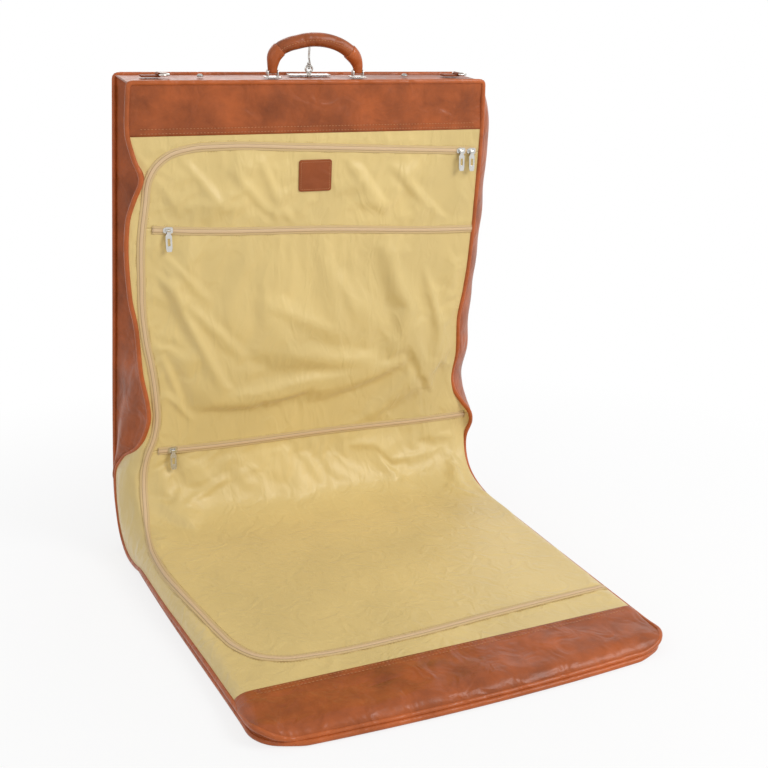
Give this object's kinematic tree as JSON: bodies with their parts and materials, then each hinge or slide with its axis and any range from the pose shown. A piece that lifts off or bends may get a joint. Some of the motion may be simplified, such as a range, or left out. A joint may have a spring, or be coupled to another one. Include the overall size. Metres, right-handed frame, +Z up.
{
  "type": "garment bag",
  "caption": "Bi-fold garment bag in leather and nylon, standing half open, with long C-shaped zip, two zip pockets, top handle and hanging hook.",
  "frame": {"origin": "bottom centre of the whole bag, on the floor that the lower half lies on", "axes": "+Z up, front (the open side, where the lower half reaches) towards -Y, +X to the right seen from the front"},
  "size_m": [0.632, 0.7226, 0.8249],
  "materials": {
    "leather": "tan full-grain leather, semi-matt, slightly pebbled",
    "dark_leather": "darker tan leather, cut edge",
    "nylon_cloth": "khaki gold nylon with a soft satin sheen",
    "lining_cloth": "plain woven lining",
    "zip_tape": "beige woven tape with coil teeth",
    "webbing": "brown woven webbing",
    "nickel": "polished nickel plate",
    "steel": "plated sheet steel"
  },
  "bodies": {
    "lower_half": {"lower_back_panel": "leather", "lower_lining": "lining_cloth", "lower_gusset": "leather", "lower_floor_bead": "leather", "fold_leather": "leather", "fold_fabric": "nylon_cloth", "fold_zip": "zip_tape", "fold_gusset_left": "leather", "fold_front_bead_left": "leather", "fold_back_bead_left": "leather", "fold_gusset_right": "leather", "fold_front_bead_right": "leather", "fold_back_bead_right": "leather", "main_zip_lower": "zip_tape", "lower_flap": "nylon_cloth", "lower_border": "nylon_cloth", "footer_band": "leather", "lower_front_bead": "leather"},
    "upper_half": {"back_panel": "leather", "back_lining": "lining_cloth", "header_band": "leather", "top_panel": "leather", "front_border": "nylon_cloth", "main_zip_upper": "zip_tape", "flap_top": "nylon_cloth", "pocket_face": "nylon_cloth", "pocket_zip_upper": "zip_tape", "pocket_zip_lower": "zip_tape", "pocket_bag": "lining_cloth", "patch": "leather", "top_frame": "steel", "gusset_left": "leather", "gusset_right": "leather", "front_bead": "leather", "back_bead": "leather", "handle_bracket_left": "nickel", "handle_bracket_right": "nickel", "hook_plate": "nickel", "ring_tab_left": "dark_leather", "ring_tab_right": "dark_leather", "stud_left": "steel", "stud_right": "steel", "hanger_clamp": "steel", "garment_strap": "webbing"},
    "handle": {"handle": "leather"},
    "hook_eye": {"hook_eye": "nickel"},
    "hook": {"hook": "nickel"},
    "d_ring_left": {"d_ring_left": "nickel"},
    "d_ring_right": {"d_ring_right": "nickel"},
    "clamp_jaw": {"clamp_jaw": "steel"},
    "main_slider_a": {"main_slider_a": "nickel"},
    "main_pull_a": {"main_pull_a": "nickel"},
    "main_slider_b": {"main_slider_b": "nickel"},
    "main_pull_b": {"main_pull_b": "nickel"},
    "pocket_slider_upper": {"pocket_slider_upper": "nickel"},
    "pocket_pull_upper": {"pocket_pull_upper": "nickel"},
    "pocket_slider_lower": {"pocket_slider_lower": "nickel"},
    "pocket_pull_lower": {"pocket_pull_lower": "nickel"}
  },
  "joints": [
    {"name": "fold_hinge", "type": "hinge", "parent": "lower_half", "child": "upper_half", "pos_m": [0, 0.26165, 0.1], "axis": [1, 0, 0], "range_deg": [-96, 86], "deforming": ["fold_leather", "fold_fabric", "fold_zip", "fold_gusset_left", "fold_front_bead_left", "fold_back_bead_left", "fold_gusset_right", "fold_front_bead_right", "fold_back_bead_right"]},
    {"name": "handle_hinge", "type": "hinge", "parent": "upper_half", "child": "handle", "pos_m": [0.01, 0.21885, 0.76165], "axis": [1, 0, 0], "range_deg": [-5, 80]},
    {"name": "hook_swivel", "type": "hinge", "parent": "upper_half", "child": "hook_eye", "pos_m": [0.01, 0.2496, 0.75731], "axis": [0, -0.1201, 0.9928], "range_deg": [-90, 90]},
    {"name": "hook_tilt", "type": "hinge", "parent": "hook_eye", "child": "hook", "pos_m": [0.01, 0.24779, 0.7722], "axis": [1, 0, 0], "range_deg": [-65, 0]},
    {"name": "d_ring_left_swing", "type": "hinge", "parent": "upper_half", "child": "d_ring_left", "pos_m": [-0.231, 0.23428, 0.75899], "axis": [0, -0.9928, -0.1201], "range_deg": [0, 155]},
    {"name": "d_ring_right_swing", "type": "hinge", "parent": "upper_half", "child": "d_ring_right", "pos_m": [0.262, 0.23428, 0.75899], "axis": [0, -0.9928, -0.1201], "range_deg": [0, 155]},
    {"name": "clamp_jaw_hinge", "type": "hinge", "parent": "upper_half", "child": "clamp_jaw", "pos_m": [-0.048, 0.23763, 0.73965], "axis": [1, 0, 0], "range_deg": [0, 60]},
    {"name": "main_slider_a_slide", "type": "slide", "parent": "upper_half", "child": "main_slider_a", "axis": [-0.999, -0.0055, 0.045], "range_m": [0, 0.42]},
    {"name": "main_pull_a_hinge", "type": "hinge", "parent": "main_slider_a", "child": "main_pull_a", "pos_m": [0.2529, 0.19395, 0.63762], "axis": [1, 0, 0], "range_deg": [-160, 6]},
    {"name": "main_slider_b_slide", "type": "slide", "parent": "upper_half", "child": "main_slider_b", "axis": [-0.999, -0.0055, 0.045], "range_m": [0, 0.003]},
    {"name": "main_pull_b_hinge", "type": "hinge", "parent": "main_slider_b", "child": "main_pull_b", "pos_m": [0.2719, 0.19405, 0.63677], "axis": [1, 0, 0], "range_deg": [-160, 6]},
    {"name": "pocket_slider_upper_slide", "type": "slide", "parent": "upper_half", "child": "pocket_slider_upper", "axis": [0.9988, 0.006, -0.0496], "range_m": [0, 0.485]},
    {"name": "pocket_pull_upper_hinge", "type": "hinge", "parent": "pocket_slider_upper", "child": "pocket_pull_upper", "pos_m": [-0.2341, 0.20657, 0.53332], "axis": [1, 0, 0], "range_deg": [-160, 6]},
    {"name": "pocket_slider_lower_slide", "type": "slide", "parent": "upper_half", "child": "pocket_slider_lower", "axis": [0.9999, 0.0013, -0.011], "range_m": [0, 0.485]},
    {"name": "pocket_pull_lower_hinge", "type": "hinge", "parent": "pocket_slider_lower", "child": "pocket_pull_lower", "pos_m": [-0.2341, 0.25019, 0.17288], "axis": [1, 0, 0], "range_deg": [-160, 6]}
  ]
}
